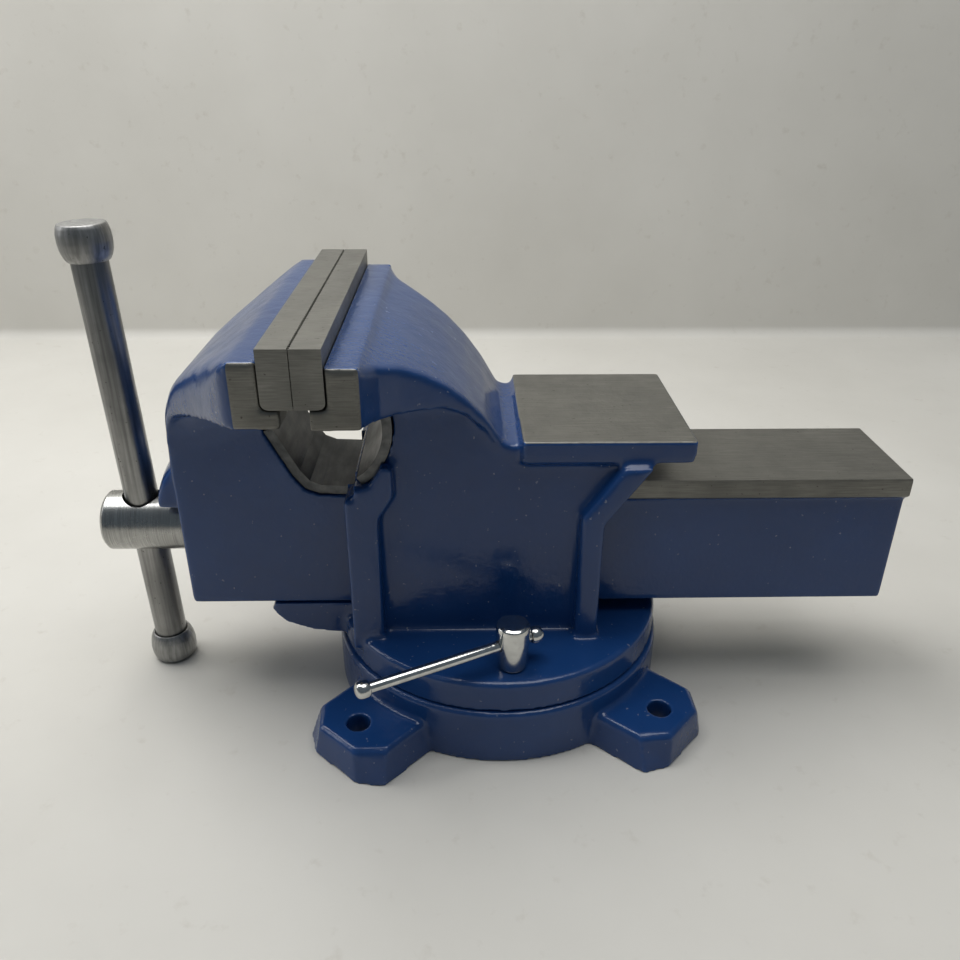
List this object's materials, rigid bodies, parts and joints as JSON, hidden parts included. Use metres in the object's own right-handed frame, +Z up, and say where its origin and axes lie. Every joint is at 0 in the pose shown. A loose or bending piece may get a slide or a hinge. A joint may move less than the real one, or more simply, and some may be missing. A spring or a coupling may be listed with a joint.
{
  "type": "bench vise",
  "caption": "Bench vise with serrated jaw plates, box slide, pipe gap, anvil and lockable swivel base, worked by a lead screw and tommy bar.",
  "frame": {"origin": "on the swivel axis at the base's underside", "axes": "+X along the slide towards its free end, -Y towards the front lock, +Z up"},
  "size_m": [0.4566, 0.2432, 0.271],
  "materials": {
    "blue_enamel": "deep glossy enamel",
    "ground_steel": "ground, matte",
    "dark_steel": "turned, scuffed",
    "black_steel": "black oxide",
    "bright_plating": "bright plated",
    "nut_bronze": "cast"
  },
  "bodies": {
    "base": {"swivel_base": "blue_enamel", "pivot_stud": "dark_steel", "pivot_washer": "dark_steel", "pivot_nut": "dark_steel"},
    "body": {"fixed_jaw_body": "blue_enamel", "fixed_jaw_plate": "ground_steel", "fixed_plate_screw_front": "black_steel", "fixed_plate_screw_rear": "black_steel", "lead_nut": "nut_bronze", "nut_bolt": "black_steel", "front_lock_slot_nut": "dark_steel", "rear_lock_slot_nut": "dark_steel", "fixed_pipe_jaw": "dark_steel"},
    "movable_jaw": {"movable_jaw_slide": "blue_enamel", "movable_jaw_plate": "ground_steel", "movable_plate_screw_front": "black_steel", "movable_plate_screw_rear": "black_steel", "thrust_washer": "dark_steel", "movable_pipe_jaw": "dark_steel"},
    "spindle": {"lead_screw": "dark_steel", "retaining_collar": "dark_steel", "collar_set_screw": "black_steel"},
    "tommy": {"tommy_bar": "dark_steel", "tommy_bar_upper_knob": "dark_steel", "tommy_bar_lower_knob": "dark_steel"},
    "front_lock": {"front_lock_screw": "bright_plating"},
    "front_bar": {"front_lock_bar": "bright_plating", "front_lock_bar_outer_ball": "bright_plating", "front_lock_bar_inner_ball": "bright_plating"},
    "rear_lock": {"rear_lock_screw": "bright_plating"},
    "rear_bar": {"rear_lock_bar": "bright_plating", "rear_lock_bar_outer_ball": "bright_plating", "rear_lock_bar_inner_ball": "bright_plating"}
  },
  "joints": [
    {"name": "swivel", "type": "hinge", "parent": "base", "child": "body", "pos_m": [0, 0, 0.033], "axis": [0, 0, 1], "continuous": true},
    {"name": "jaw_slide", "type": "slide", "parent": "body", "child": "movable_jaw", "axis": [-1, 0, 0], "range_m": [0, 0.15]},
    {"name": "screw_turn", "type": "hinge", "parent": "movable_jaw", "child": "spindle", "pos_m": [-0.2095, 0, 0.099], "axis": [-1, 0, 0], "range_deg": [0, 9000]},
    {"name": "tommy_slide", "type": "slide", "parent": "spindle", "child": "tommy", "axis": [-0.0209, 0, 0.9998], "range_m": [-0.13, 0.055]},
    {"name": "front_lock_turn", "type": "hinge", "parent": "body", "child": "front_lock", "pos_m": [0.0046, -0.08, 0.066], "axis": [0, 0, 1], "range_deg": [-30, 168]},
    {"name": "front_lock_bar_slide", "type": "slide", "parent": "front_lock", "child": "front_bar", "axis": [-0.9003, -0.4352, 0], "range_m": [-0.007, 0.001]},
    {"name": "rear_lock_turn", "type": "hinge", "parent": "body", "child": "rear_lock", "pos_m": [-0.0046, 0.08, 0.066], "axis": [0, 0, 1], "range_deg": [-38, 158]},
    {"name": "rear_lock_bar_slide", "type": "slide", "parent": "rear_lock", "child": "rear_bar", "axis": [0.9003, 0.4352, 0], "range_m": [-0.007, 0.001]}
  ],
  "couplings": [
    {"joint": "jaw_slide", "follows": "screw_turn", "m_per_rad": 0.00095493}
  ]
}
